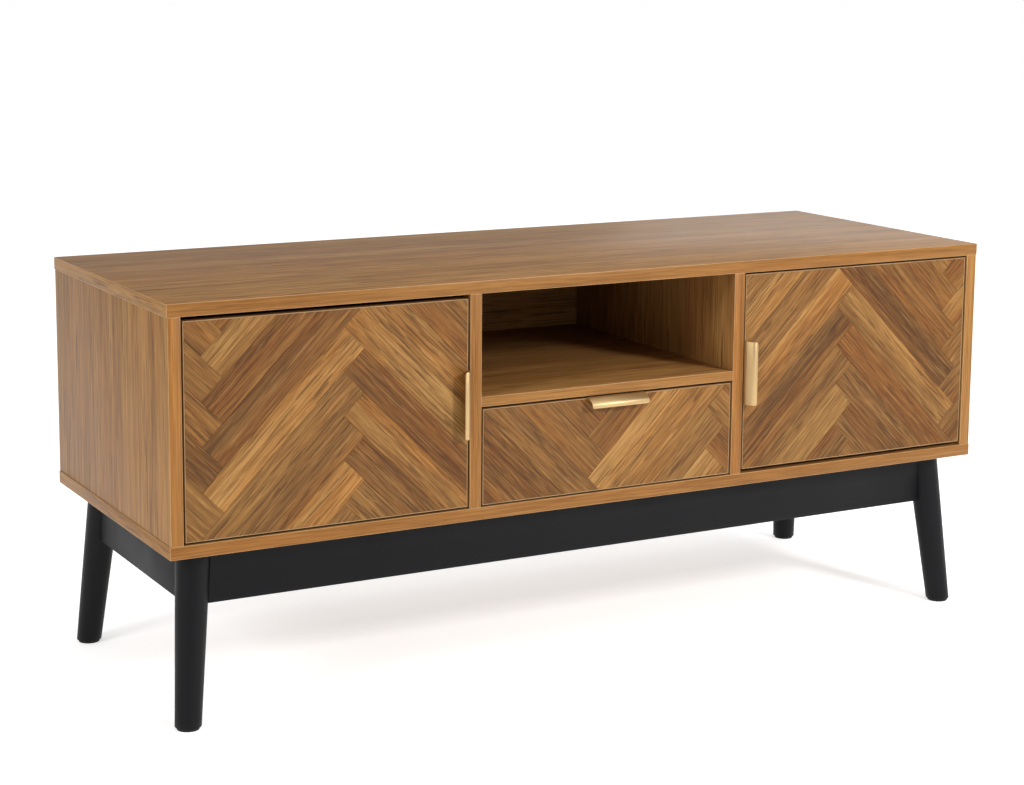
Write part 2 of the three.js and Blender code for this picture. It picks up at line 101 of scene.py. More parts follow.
def bevel_sharp(bm, width, segments=2):
    """Rounds every sharp edge, and marks the new faces in the face attribute "edge"."""
    limit = math.radians(SHARP_ANGLE)
    sharp = [edge for edge in bm.edges if edge.is_manifold and edge.calc_face_angle() > limit]
    layer = bm.faces.layers.float.new("edge")
    made = bmesh.ops.bevel(
        bm, geom=sharp, offset=width, offset_type="OFFSET", segments=segments,
        profile=0.5, affect="EDGES", clamp_overlap=True,
    )
    for face in made["faces"]:
        face[layer] = 1.0


def bridge(bm, lower, upper):
    """A band of four-sided faces between two rings of corners."""
    faces = []
    for i in range(len(lower)):
        j = (i + 1) % len(lower)
        faces.append(bm.faces.new((lower[i], lower[j], upper[j], upper[i])))
    return faces


def node_bmesh(node):
    """A CAD node's shape with its flat faces whole again."""
    bm = bmesh.new()
    bm.from_mesh(frame["nodes"][node].data)
    bmesh.ops.remove_doubles(bm, verts=bm.verts, dist=MERGE)
    bmesh.ops.dissolve_limit(bm, angle_limit=math.radians(FLAT_ANGLE), verts=bm.verts, edges=bm.edges)
    return bm


def lay_grain(piece, along, end_along, seed):
    """Gives every corner its place in the grain: metres along it, across it, and the board's own number.

    along is the grain's direction, and end_along its direction on the faces that it would run into.
    """
    along, end_along = Vector(along), Vector(end_along)
    mesh = piece.data
    values = []
    for polygon in mesh.polygons:
        normal = polygon.normal
        run = end_along if abs(normal.dot(along)) > END_GRAIN else along
        side = max(range(3), key=lambda axis: abs(normal[axis]))
        axis_normal = Vector([1.0 if axis == side else 0.0 for axis in range(3)])
        across = axis_normal.cross(run)
        for index in polygon.vertices:
            place = mesh.vertices[index].co
            values += [place.dot(run), place.dot(across), seed + SIDE_STEP * side]
    attribute = mesh.attributes.new("grain", "FLOAT_VECTOR", "CORNER")
    attribute.data.foreach_set("vector", values)


def finish_piece(piece, node, material):
    """Puts a piece on its body in place of a CAD node, with a material."""
    piece.data.materials.append(material)
    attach(piece, NODE_BODY[node])
    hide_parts(node)


# ---- Node helpers ----

def shader_node(tree, kind, inputs=None, **settings):
    """A new shader node: inputs are sockets to link or values to set, and settings are its own properties."""
    made = tree.nodes.new("ShaderNode" + kind)
    for name, value in settings.items():
        setattr(made, name, value)
    for name, value in (inputs or {}).items():
        if isinstance(value, bpy.types.NodeSocket):
            tree.links.new(value, made.inputs[name])
        else:
            made.inputs[name].default_value = value
    return made


def attribute(tree, name, output):
    """A mesh attribute's output."""
    return shader_node(tree, "Attribute", attribute_name=name).outputs[output]


def scaled(tree, vector, scale):
    """A vector times a scale for each axis."""
    return shader_node(tree, "VectorMath", {0: vector, 1: scale}, operation="MULTIPLY").outputs[0]


def noise(tree, vector, scale, detail=2.0, roughness=0.5):
    """Noise whose scale is the number of waves in a metre along each axis."""
    settings = {"Vector": scaled(tree, vector, scale), "Scale": 1.0, "Detail": detail, "Roughness": roughness}
    return shader_node(tree, "TexNoise", settings).outputs["Fac"]


def calc(tree, operation, a, b=0.0, clamp=False):
    """The result of a sum on two numbers."""
    return shader_node(tree, "Math", {0: a, 1: b}, operation=operation, use_clamp=clamp).outputs[0]


def remap(tree, value, low, high, to_low=0.0, to_high=1.0):
    """A number moved from one range to another, and held inside it."""
    limits = {"Value": value, "From Min": low, "From Max": high, "To Min": to_low, "To Max": to_high}
    return shader_node(tree, "MapRange", limits, clamp=True).outputs[0]


def ramp(tree, value, stops):
    """The colour at a number's place along a row of (place, colour) stops."""
    made = shader_node(tree, "ValToRGB", {"Fac": value})
    elements = made.color_ramp.elements
    while len(elements) < len(stops):
        elements.new(0.5)
    for element, (place, colour) in zip(elements, stops):
        element.position = place
        element.color = linear(colour)
    return made.outputs["Color"]


def mix(tree, amount, a, b, blend="MIX"):
    """Colour a turned into colour b by an amount from 0 to 1."""
    made = shader_node(tree, "Mix", data_type="RGBA", blend_type=blend)
    for index, value in ((0, amount), (6, a), (7, b)):
        if isinstance(value, bpy.types.NodeSocket):
            tree.links.new(value, made.inputs[index])
        else:
            made.inputs[index].default_value = value
    return made.outputs[2]


def linear(colour):
    """An sRGB colour in 0 to 255 as a linear one with alpha."""
    channels = []
    for c in (value / 255 for value in colour):
        channels.append(c / 12.92 if c <= 0.04045 else ((c + 0.055) / 1.055) ** 2.4)
    return (*channels, 1.0)


def new_material(name, **constants):
    """A material with its tree and its shader, whose sockets take the constants."""
    material = bpy.data.materials.new(name)
    material.use_nodes = True
    tree = material.node_tree
    shader = tree.nodes["Principled BSDF"]
    for socket, value in constants.items():
        shader.inputs[socket.replace("_", " ")].default_value = value
    return material, tree, shader


def set_bump(tree, shader, height, strength, distance=BUMP_DEPTH):
    """Gives a shader a bump from a height, up to a distance in metres."""
    bump = shader_node(tree, "Bump", {"Height": height, "Strength": strength, "Distance": distance})
    tree.links.new(bump.outputs["Normal"], shader.inputs["Normal"])


# ---- Materials ----

WOOD_GLOSS = 0.16          # the woods' specular level: satin laminate reflects little
STREAK_SPREAD = 0.21       # how far round its middle the streaks' noise fills the colour ramp
TONE_SPREAD = 0.70         # how much of the ramp a herringbone board's own tone covers

# Waves in a metre along the grain and across it, then from board to board.
WANDER_WAVES = (3.0, 9.0, 7.0)
PATCH_WAVES = (6.0, 50.0, 5.0)
# The last is the pattern of the paler edges: rubbed wear together with a painted highlight.
WEAR_AND_HIGHLIGHT_WAVES = (60.0, 60.0, 60.0)

# The part of each noise over which the thing it makes comes in.
SHADED_RANGE = (0.42, 0.62)
PATCH_RANGE = (0.30, 0.55)
DARK_FLECK_RANGE = (0.55, 0.60)
LIGHT_FLECK_RANGE = (0.55, 0.68)
SHEEN_RANGE = (0.3, 0.7)

BRASS = (190, 161, 116)
BRASS_ROUGHNESS = 0.42


def set_roughness(tree, shader, amount, low, high):
    """Gives a shader a roughness that follows a noise from one value to another."""
    tree.links.new(remap(tree, amount, *SHEEN_RANGE, low, high), shader.inputs["Roughness"])


def wood_material(name, stops, bands, tint, flecks, roughness, wear_and_highlight_colour, toned=False, figure=0.004):
    """Oak: wandering streaks along the grain, short dark and light flecks, and paler edges that are partly
    rubbed wear and partly a painted highlight.

    stops run from the darkest streak's colour to the lightest one's. bands holds the broad, middle and fine
    streaks as (per metre along, per metre across, weight). tint is the colour that shades some broad bands,
    and flecks is how far the dark and the light flecks show. figure is how far the streaks wander, in metres.
    """
    material, tree, shader = new_material(name, Specular_IOR_Level=WOOD_GLOSS)
    grain = attribute(tree, "grain", "Vector")
    wander = noise(tree, grain, WANDER_WAVES)
    shift = calc(tree, "MULTIPLY", calc(tree, "SUBTRACT", wander, 0.5), figure)
    offset = shader_node(tree, "CombineXYZ", {"Y": shift}).outputs[0]
    bent = shader_node(tree, "VectorMath", {0: grain, 1: offset}, operation="ADD").outputs[0]

    layers = [noise(tree, bent, (along, across, 5.0), 3.0, 0.6) for along, across, _ in bands]
    total = sum(weight for _, _, weight in bands)
    blend = 0.0
    for layer, (_, _, weight) in zip(layers, bands):
        blend = calc(tree, "ADD", blend, calc(tree, "MULTIPLY", layer, weight))
    blend = remap(tree, blend, (0.5 - STREAK_SPREAD) * total, (0.5 + STREAK_SPREAD) * total)
    if toned:
        tone = calc(tree, "SUBTRACT", attribute(tree, "tone", "Fac"), 0.5)
        blend = calc(tree, "ADD", blend, calc(tree, "MULTIPLY", tone, TONE_SPREAD), clamp=True)
    colour = ramp(tree, blend, stops)
    broad_along, broad_across, _ = bands[0]
    shaded = remap(tree, noise(tree, bent, (broad_along, 0.8 * broad_across, 11.0)), *SHADED_RANGE)
    colour = mix(tree, shaded, colour, mix(tree, 1.0, colour, linear(tint), "MULTIPLY"))

    along, across, _ = bands[2]
    darkest, lightest = stops[0][1], stops[-1][1]
    patches = remap(tree, noise(tree, bent, PATCH_WAVES), *PATCH_RANGE)
    dark = remap(tree, noise(tree, bent, (1.1 * along, 0.9 * across, 9.0), 1.0), *DARK_FLECK_RANGE)
    dark = calc(tree, "MULTIPLY", calc(tree, "MULTIPLY", dark, patches), flecks[0])
    light = remap(tree, noise(tree, bent, (0.8 * along, 0.8 * across, 13.0), 2.0, 0.6), *LIGHT_FLECK_RANGE)
    light = calc(tree, "MULTIPLY", light, flecks[1])
    colour = mix(tree, dark, colour, linear(darkest))
    colour = mix(tree, light, colour, linear(lightest))
    # Paler rounded edges: partly rubbed wear, partly a painted highlight along the edges.
    wear_and_highlight_noise = noise(tree, grain, WEAR_AND_HIGHLIGHT_WAVES, 3.0)
    wear_and_highlight = calc(tree, "MULTIPLY", attribute(tree, "edge", "Fac"), wear_and_highlight_noise)
    colour = mix(tree, wear_and_highlight, colour, linear(wear_and_highlight_colour))
    tree.links.new(colour, shader.inputs["Base Color"])
    set_roughness(tree, shader, layers[2], roughness - 0.05, roughness + 0.07)
    set_bump(tree, shader, calc(tree, "SUBTRACT", layers[2], dark), 0.25)
    return material


def paint_material(name, colour, roughness, gloss=0.5, bump=0.12):
    """Sprayed paint or coating: even colour with slight cloudiness, orange peel, and rubbed edges."""
    material, tree, shader = new_material(name, Specular_IOR_Level=gloss)
    place = shader_node(tree, "TexCoord").outputs["Object"]
    cloud = noise(tree, place, (14, 14, 14), 3.0)
    rubbed = calc(tree, "MULTIPLY", attribute(tree, "edge", "Fac"), noise(tree, place, (90, 90, 90), 3.0))
    lighter = tuple(min(255, c * 1.25 + 14) for c in colour)
    darker = tuple(c * 0.9 for c in colour)
    base = mix(tree, cloud, linear(darker), linear(colour))
    tree.links.new(mix(tree, rubbed, base, linear(lighter)), shader.inputs["Base Color"])
    set_roughness(tree, shader, cloud, roughness - 0.05, roughness + 0.06)
    set_bump(tree, shader, noise(tree, place, (700, 700, 700)), bump)
    return material


def metal_material(name, colour, roughness, brush):
    """Satin metal with fine brushing and a painted highlight that makes its rounded edges lighter: brush
    gives how many lines a metre there are along X, Y and Z.
    """
    material, tree, shader = new_material(name, Metallic=1.0)
    place = shader_node(tree, "TexCoord").outputs["Object"]
    lines = noise(tree, place, brush, 3.0, 0.6)
    cloud = noise(tree, place, (30, 30, 30), 3.0)
    darker = tuple(c * 0.93 for c in colour)
    lighter = tuple(min(255, c * 1.06 + 4) for c in colour)
    base = mix(tree, cloud, linear(darker), linear(colour))
    # Painted highlight: the rounded edges are mixed toward a lighter colour.
    painted_edge_highlight = calc(tree, "MULTIPLY", attribute(tree, "edge", "Fac"), 0.6)
    tree.links.new(mix(tree, painted_edge_highlight, base, linear(lighter)), shader.inputs["Base Color"])
    set_roughness(tree, shader, lines, roughness - 0.06, roughness + 0.08)
    set_bump(tree, shader, lines, 0.12, 0.0001)
    return material


def fibre_material(name, dark, light, roughness, size):
    """Pressed fibre, felt or nylon: fine speckle in two tones with a matching bump."""
    material, tree, shader = new_material(name, IOR=1.45)
    place = shader_node(tree, "TexCoord").outputs["Object"]
    speckle = noise(tree, place, (size, size, size), 4.0, 0.7)
    patches = noise(tree, place, (25, 25, 25))
    amount = remap(tree, calc(tree, "ADD", speckle, calc(tree, "MULTIPLY", patches, 0.4)), 0.5, 0.9)
    tree.links.new(mix(tree, amount, linear(dark), linear(light)), shader.inputs["Base Color"])
    set_roughness(tree, shader, speckle, roughness - 0.05, roughness + 0.05)
    set_bump(tree, shader, speckle, 0.3)
    return material


# Broad, middle and fine streaks: how many there are in a metre along and across the grain, and their weight.
BOARD_BANDS = ((0.7, 26.0, 0.55), (4.0, 150.0, 0.35), (14.0, 520.0, 0.6))
VENEER_BANDS = ((1.6, 30.0, 0.42), (7.0, 280.0, 0.3), (24.0, 480.0, 0.5))

LAMINATE = wood_material(
    "wood_laminate",
    stops=[(0.0, (86, 56, 28)), (0.35, (126, 89, 47)), (0.65, (151, 111, 62)), (1.0, (178, 138, 86))],
    bands=BOARD_BANDS, tint=(250, 240, 236), flecks=(0.70, 0.35), roughness=0.44, wear_and_highlight_colour=(190, 152, 106),
)
EDGING = wood_material(
    "front_edge_strip",
    stops=[(0.0, (92, 58, 26)), (0.4, (130, 89, 43)), (0.7, (147, 103, 53)), (1.0, (166, 122, 70))],
    bands=BOARD_BANDS, tint=(255, 240, 220), flecks=(0.35, 0.25), roughness=0.42, wear_and_highlight_colour=(190, 154, 112),
)
VENEER = wood_material(
    "herringbone_veneer",
    stops=[(0.0, (64, 40, 17)), (0.3, (95, 63, 30)), (0.5, (115, 79, 39)), (0.7, (131, 94, 48)),
           (1.0, (164, 125, 73))],
    bands=VENEER_BANDS, tint=(255, 236, 214), flecks=(0.60, 0.25), roughness=0.46, wear_and_highlight_colour=(150, 112, 68),
    toned=True, figure=0.006,
)
BAND = wood_material(
    "door_edge_band",
    stops=[(0.0, (96, 68, 38)), (0.5, (130, 96, 58)), (1.0, (158, 122, 78))],
    bands=BOARD_BANDS, tint=(255, 240, 226), flecks=(0.3, 0.25), roughness=0.4, wear_and_highlight_colour=(186, 160, 124),
)
BLACK = paint_material("black_wood_paint", (11, 11, 14), 0.46, 0.15)
BRASS_UP = metal_material("satin_brass_upright", BRASS, BRASS_ROUGHNESS, (900, 900, 25))
BRASS_ALONG = metal_material("satin_brass_along", BRASS, BRASS_ROUGHNESS, (25, 900, 900))
ZINC = metal_material("zinc_plate", (178, 180, 184), 0.34, (400, 400, 60))
COATED = paint_material("white_rail_coating", (222, 222, 218), 0.38, bump=0.2)
NYLON = fibre_material("white_nylon", (226, 224, 216), (242, 241, 236), 0.45, 900)
PALE = wood_material(
    "pale_drawer_board",
    stops=[(0.0, (176, 152, 116)), (0.5, (206, 186, 154)), (1.0, (220, 202, 172))],
    bands=BOARD_BANDS, tint=(250, 244, 236), flecks=(0.3, 0.25), roughness=0.5, wear_and_highlight_colour=(228, 216, 194),
)
FELT = fibre_material("felt_pad", (20, 20, 20), (44, 43, 42), 0.9, 1400)


# ---- Case, hardware and frame, from the CAD shapes ----

X, Y, Z = (1, 0, 0), (0, 1, 0), (0, 0, 1)

# Node prefix, material, edge rounding, and for wood the grain's direction on the faces and on the ends.
FINISHES = [
    ("top_panel", LAMINATE, BOARD_EDGE, X, Y),
    ("bottom_panel", LAMINATE, BOARD_EDGE, X, Y),
    ("side_panel", LAMINATE, BOARD_EDGE, Z, Y),
    ("divider", LAMINATE, BOARD_EDGE, Z, Y),
    ("shelf", LAMINATE, BOARD_EDGE, X, Y),
    ("back_panel", LAMINATE, STEEL_EDGE, X, Z),
    ("drawer_side", PALE, BOARD_EDGE, Y, Z),
    ("drawer_back", PALE, BOARD_EDGE, X, Z),
    ("drawer_bottom", PALE, STEEL_EDGE, X, Y),
    ("apron", BLACK, BLOCK_EDGE, X, Z),
    ("corner_block", BLACK, BLOCK_EDGE, X, Z),
    ("leg_bolt", ZINC, STEEL_EDGE, X, Z),
    ("foot_pad", FELT, BOARD_EDGE, X, Z),
    ("hinge", ZINC, STEEL_EDGE, X, Z),
    ("cabinet_rail", COATED, STEEL_EDGE, X, Z),
    ("drawer_rail", COATED, STEEL_EDGE, X, Z),
    ("roller", NYLON, STEEL_EDGE, X, Z),
    ("handle_door", BRASS_UP, STEEL_EDGE, X, Z),
    ("handle_drawer", BRASS_ALONG, STEEL_EDGE, X, Z),
]


def dress_node(node, number, material, width, along, end_along):
    """Replaces a CAD node by its shape with rounded edges, a grain and a material."""
    bm = node_bmesh(node)
    bevel_sharp(bm, width)
    piece = new_piece(node + "_finish", bm)
    lay_grain(piece, along, end_along, GRAIN_STEP * number)
    finish_piece(piece, node, material)
    if material is LAMINATE:
        piece.data.materials.append(EDGING)
        for polygon in piece.data.polygons:
            polygon.material_index = int(polygon.normal.y < FORWARD and polygon.center.y < EDGING_Y)


for number, node in enumerate(sorted(frame["nodes"])):
    for prefix, material, width, along, end_along in FINISHES:
        if node.startswith(prefix):
            dress_node(node, number, material, width, along, end_along)
            break


# ---- Legs ----

def build_leg(node):
    """A tapered round leg that leans outward, turned with a softened foot."""
    low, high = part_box(node)
    right, rear = low.x > 0, low.y > 0
    foot = Vector((high.x - LEG_FOOT_R if right else low.x + LEG_FOOT_R,
                   high.y - LEG_FOOT_R if rear else low.y + LEG_FOOT_R, low.z))
    top = Vector((low.x + LEG_TOP_R if right else high.x - LEG_TOP_R,
                  low.y + LEG_TOP_R if rear else high.y - LEG_TOP_R, high.z))
    soft, height = FOOT_SOFTNESS, top.z - foot.z
    levels = [(0.0, -soft), (soft * 0.3, -soft * 0.3), (soft, 0.0)]
    levels += [(soft + (height - soft) * (i + 1) / LEG_RINGS, 0.0) for i in range(LEG_RINGS)]
    bm = bmesh.new()
    loops = []
    for rise, inset in levels:
        share = rise / height
        radius = LEG_FOOT_R + (LEG_TOP_R - LEG_FOOT_R) * share + inset
        centre = foot.lerp(top, share)
        turns = [2 * math.pi * i / LEG_SEGMENTS for i in range(LEG_SEGMENTS)]
        loops.append([bm.verts.new(centre + Vector((math.cos(t), math.sin(t), 0)) * radius) for t in turns])
    for lower, upper in zip(loops, loops[1:]):
        bridge(bm, lower, upper)
    bm.faces.new(list(reversed(loops[0])))
    bm.faces.new(loops[-1])
    finish_piece(new_piece(node + "_turned", bm), node, BLACK)


for node in sorted(frame["nodes"]):
    if node.startswith("leg_") and not node.startswith("leg_bolt"):
        build_leg(node)


# ---- Herringbone fronts ----

SEAM_COLUMNS = (-2, 0, 2)
BOARD_ROWS = range(-12, 13)
SMALLEST_BOARD = 4e-7      # slivers with less area than this, in square metres, are left out
SAME_CORNER = 1e-5         # a board's corners closer than this are one corner
SHARPEST = 0.2             # holds a very sharp corner back when a board's outline shrinks
PLAIN_TONES = (0.35, 0.62) # the range of the boards whose tones aren't listed
GROOVE_TONE = -0.18        # how much darker a groove between two boards is
FIRST_SEED = 5


def clip(points, low, high):
    """The part of a convex outline inside a rectangle, corner by corner."""
    for axis, limit, sign in ((0, low[0], 1), (0, high[0], -1), (1, low[1], 1), (1, high[1], -1)):
        kept = []
        for a, b in zip(points, points[1:] + points[:1]):
            inside_a = sign * (a[axis] - limit) >= 0
            inside_b = sign * (b[axis] - limit) >= 0
            if inside_a:
                kept.append(a)
            if inside_a != inside_b:
                t = (limit - a[axis]) / (b[axis] - a[axis])
                kept.append((a[0] + t * (b[0] - a[0]), a[1] + t * (b[1] - a[1])))
        points = kept
        if not points:
            return []
    return points


def shrink(points, amount):
    """A convex outline moved in by an amount on every side."""
    count = len(points)
    moved = []
    for i in range(count):
        before, here, after = (Vector(points[j % count]) for j in (i - 1, i, i + 1))
        into, out = (here - before).normalized(), (after - here).normalized()
        normals = [Vector((-d.y, d.x)) for d in (into, out)]
        share = 1 + normals[0].dot(normals[1])
        moved.append(tuple(here + (normals[0] + normals[1]) * amount / max(share, SHARPEST)))
    return moved


def area(points):
    """An outline's area, negative if its corners run clockwise."""
    return sum(a[0] * b[1] - b[0] * a[1] for a, b in zip(points, points[1:] + points[:1])) / 2


def herringbone(low, high, seam_x, corner_z):
    """Boards at 45 degrees that meet in zigzag seams: (kind, column, row, origin, direction, outline).

    seam_x is the middle of one peak seam, and corner_z the height of one of its left-hand corners.
    """
    reach = BOARD_LENGTH / math.sqrt(2)
    step = BOARD_WIDTH * math.sqrt(2)
    half = step / 4
    boards = []
    for column in SEAM_COLUMNS:
        seam = seam_x + column * reach
        for row in BOARD_ROWS:
            z = corner_z + row * step
            rising = [(seam - half, z), (seam + half, z - step / 2)]
            rising += [(x - reach, y - reach) for x, y in reversed(rising)]
            falling = [(seam - half, z - step), (seam + half, z - step / 2)]
            falling += [(x + reach, y - reach) for x, y in reversed(falling)]
            for kind, corners, direction in (("A", rising, (1, 1)), ("B", falling, (1, -1))):
                outline = clip(corners, low, high)
                if outline and area(outline) < 0:
                    outline.reverse()
                if outline and area(outline) > SMALLEST_BOARD:
                    boards.append((kind, column, row, corners[0], Vector(direction).normalized(), outline))
    return boards


def tidy_outline(points):
    """The outline without repeated or nearly repeated corners."""
    kept = []
    for i, point in enumerate(points):
        if (Vector(point) - Vector(points[i - 1])).length > SAME_CORNER:
            kept.append(point)
    return kept


def build_boards(node, face_y, low, high, pattern, tones, seed):
    """The herringbone boards of one front, each a thin solid with a chamfered edge."""
    draw = random.Random(seed)
    bm = bmesh.new()
    grain_layer = bm.loops.layers.float_vector.new("grain")
    tone_layer = bm.faces.layers.float.new("tone")
    edge_layer = bm.faces.layers.float.new("edge")
    for kind, column, row, origin, direction, outline in herringbone(low, high, *pattern):
        outline = tidy_outline(outline)
        if len(outline) < 3:
            continue
        tone = tones.get((kind, column, row), draw.uniform(*PLAIN_TONES))
        start, across = draw.uniform(0, 40), Vector((-direction.y, direction.x))
        number = draw.uniform(0, 400)
        inner = shrink(outline, BOARD_JOINT)
        if area(inner) <= 0:
            continue
        levels = ((outline, FACING), (outline, BOARD_CHAMFER), (inner, 0.0))
        loops = [[bm.verts.new((x, face_y + depth, z)) for x, z in ring] for ring, depth in levels]
        faces = [(bm.faces.new(list(reversed(loops[0]))), 0.0), (bm.faces.new(loops[2]), 0.0)]
        for lower, upper, shift in ((loops[0], loops[1], 0.0), (loops[1], loops[2], GROOVE_TONE)):
            faces += [(face, shift) for face in bridge(bm, lower, upper)]
        for face, shift in faces:
            face[tone_layer] = tone + shift
            face[edge_layer] = 0.0
            for loop in face.loops:
                place = Vector((loop.vert.co.x - origin[0], loop.vert.co.z - origin[1]))
                loop[grain_layer] = (start + place.dot(direction), place.dot(across), number)
    bmesh.ops.recalc_face_normals(bm, faces=bm.faces)
    finish_piece(new_piece(node + "_boards", bm, smooth_below=20), node, VENEER)


def build_core(node):
    """The front's chipboard core: the CAD shape, drawn in under its facing and edge strip."""
    low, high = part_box(node)
    bm = node_bmesh(node)
    for vert in bm.verts:
        for axis in (0, 2):
            if abs(vert.co[axis] - low[axis]) < MERGE:
                vert.co[axis] += EDGE_BAND
            elif abs(vert.co[axis] - high[axis]) < MERGE:
                vert.co[axis] -= EDGE_BAND
        if abs(vert.co.y - low.y) < MERGE:
            vert.co.y += FACING
    bevel_sharp(bm, STEEL_EDGE / 3, segments=1)
    piece = new_piece(node + "_core", bm)
    lay_grain(piece, Z, X, CORE_GRAIN + low.x)
    finish_piece(piece, node, LAMINATE)


def build_edge_band(node):
    """The edge strip that runs round a front, with softly rounded corners to the face."""
    low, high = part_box(node)
    bm = bmesh.new()
    loops = []
    for inset, y in ((0.0, low.y), (0.0, high.y), (EDGE_BAND, high.y), (EDGE_BAND, low.y)):
        corners = [(low.x + inset, low.z + inset), (high.x - inset, low.z + inset),
                   (high.x - inset, high.z - inset), (low.x + inset, high.z - inset)]
        loops.append([bm.verts.new((x, y, z)) for x, z in corners])
    for here, beyond in zip(loops, loops[1:] + loops[:1]):
        bridge(bm, here, beyond)
    bmesh.ops.recalc_face_normals(bm, faces=bm.faces)
    bevel_sharp(bm, STRIP_CORNER)
    piece = new_piece(node + "_edge_band", bm)
    lay_grain(piece, X, Z, STRIP_GRAIN + low.x)
    finish_piece(piece, node, BAND)


# Each front's pattern is one peak seam: its middle and the height of one of its left-hand corners.
# Boards that stand out are toned one by one, from 0, dark, to 1, light. Their keys are the kind, A where the
# board rises to the right and B where it falls, the seam's column and the row.
FRONTS = {
    "door_left": {
        "pattern": (-0.3389, 0.4442),
        "tones": {
            ("A", 0, 3): 0.78, ("A", 0, 2): 0.42, ("A", 0, 1): 0.24, ("A", 0, 0): 0.84,
            ("A", 0, -1): 0.52, ("A", 0, -2): 0.44, ("A", 0, -3): 0.88, ("A", 0, -4): 0.46,
            ("B", 0, 2): 0.56, ("B", 0, 1): 0.72, ("B", 0, 0): 0.26,
            ("B", 0, -1): 0.60, ("B", 0, -2): 0.38, ("B", 0, -3): 0.52,
        },
    },
    "door_right": {
        "pattern": (0.348, 0.4183),
        "tones": {
            ("A", 0, 3): 0.70, ("A", 0, 2): 0.50, ("A", 0, 1): 0.76, ("A", 0, 0): 0.24,
            ("A", 0, -1): 0.34, ("A", 0, -2): 0.80, ("A", 0, -3): 0.36, ("A", 0, -4): 0.72,
            ("B", 0, 3): 0.34, ("B", 0, 2): 0.20, ("B", 0, 1): 0.60, ("B", 0, 0): 0.38,
            ("B", 0, -1): 0.38, ("B", 0, -2): 0.30, ("A", 2, 3): 0.70,
        },
    },
    "drawer_front": {
        "pattern": (0.152, 0.2543),
        "tones": {
            ("A", 0, 4): 0.46, ("A", 0, 3): 0.96, ("A", 0, 2): 0.64, ("A", 0, 1): 0.60, ("A", 0, 0): 0.90,
            ("B", 0, 1): 0.38, ("B", 0, 2): 0.60,
        },
    },
}

for seed, (node, front) in enumerate(FRONTS.items(), FIRST_SEED):
    low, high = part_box(node)
    build_core(node)
    build_edge_band(node)
    face_low = (low.x + EDGE_BAND, low.z + EDGE_BAND)
    face_high = (high.x - EDGE_BAND, high.z - EDGE_BAND)
    build_boards(node, low.y, face_low, face_high, front["pattern"], front["tones"], seed)


# ---- Screws ----

SCREW_R = 0.0032
SCREW_HEIGHT = 0.0015
LOW_HEIGHT = 0.0010        # flatter heads, where something runs close past them
TURN_STEPS = 36

# A head's profile from its face outward, as shares of its radius and of its height.
DOME = ((1.0, 0.0), (1.0, 0.3), (0.95, 0.62), (0.80, 0.88), (0.62, 1.0))
RECESS_REACH = 0.5         # the cross recess's arms, as shares of the head's radius
RECESS_HALF_WIDTH = 0.12
RECESS_FLOOR = 0.45        # the recess's floor, as a share of the head's height
CUP_SCREW_RISE = 0.024     # from the hinge's middle to a screw in its cup's wing
CUP_SCREW_IN = 0.0055
PLATE_SCREW_RISE = 0.020   # from the hinge's middle to a screw in its mounting plate
PLATE_SCREW_BACK = 0.02575
PLATE_THICK = 0.0020
ARM_HEIGHT = 0.0115        # the arm's top above the case's wall
ARM_SCREWS_BACK = (0.041, 0.054)
RAIL_SHEET = 0.00125
RAIL_SCREW_RISE = 0.010
CABINET_RAIL_SHARES = (0.18, 0.50, 0.86)
DRAWER_RAIL_SHARES = (0.15, 0.50, 0.80)
HANDLE_SCREW_IN = 0.008    # from the front's edge to a screw in the handle's tab
HANDLE_SCREWS_ALONG = (-0.025, 0.025)


def cross_outline(reach, half_width):
    """A cross recess's outline, from just above its right-hand tip, with TURN_STEPS points."""
    corners = []
    for quarter in range(4):
        for x, y in ((reach, half_width), (half_width, half_width), (half_width, reach)):
            turn = Matrix.Rotation(quarter * math.pi / 2, 2)
            corners.append(turn @ Vector((x, y)))
    points = []
    per_edge = TURN_STEPS // len(corners)
    for start, end in zip(corners, corners[1:] + corners[:1]):
        points += [start.lerp(end, step / per_edge) for step in range(per_edge)]
    return points


def add_screw_head(bm, place, outward, height):
    """A domed screw head with a cross recess, standing on a face at a place and facing outward."""
    turns = [2 * math.pi * step / TURN_STEPS for step in range(TURN_STEPS)]
    rings = []
    for share, rise in DOME:
        radius = share * SCREW_R
        rings.append([(radius * math.cos(t), radius * math.sin(t), rise * height) for t in turns])
    outline = cross_outline(RECESS_REACH * SCREW_R, RECESS_HALF_WIDTH * SCREW_R)
    for depth in (1.0, RECESS_FLOOR):
        rings.append([(point.x, point.y, depth * height) for point in outline])
    turn = Vector(outward).to_track_quat("Z", "Y").to_matrix()
    loops = [[bm.verts.new(Vector(place) + turn @ Vector(point)) for point in ring] for ring in rings]
    for lower, upper in zip(loops, loops[1:]):
        bridge(bm, lower, upper)
    bm.faces.new(list(reversed(loops[0])))
    bm.faces.new(loops[-1])


def add_hinge_screws(heads, side, level):
    """Two screws in the cup's wings, two in the mounting plate's, and the arm's two adjusting screws."""
    inward = 1 if side == "left" else -1
    low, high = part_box(f"hinge_cup_{side}_{level}")
    middle = (low + high) / 2
    for rise in (-CUP_SCREW_RISE, CUP_SCREW_RISE):
        place = (middle.x + inward * CUP_SCREW_IN, high.y, middle.z + rise)
        heads[f"door_{side}"].append((place, Y, SCREW_HEIGHT))
    low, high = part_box(f"hinge_arm_{side}_{level}")
    wall = low.x if side == "left" else high.x
    middle_z = (low.z + high.z) / 2
    for rise in (-PLATE_SCREW_RISE, PLATE_SCREW_RISE):
        place = (wall + inward * PLATE_THICK, low.y + PLATE_SCREW_BACK, middle_z + rise)
        heads["case"].append((place, (inward, 0, 0), SCREW_HEIGHT))
    for back in ARM_SCREWS_BACK:
        place = (wall + inward * ARM_HEIGHT, low.y + back, middle_z)
        heads["case"].append((place, (inward, 0, 0), LOW_HEIGHT))


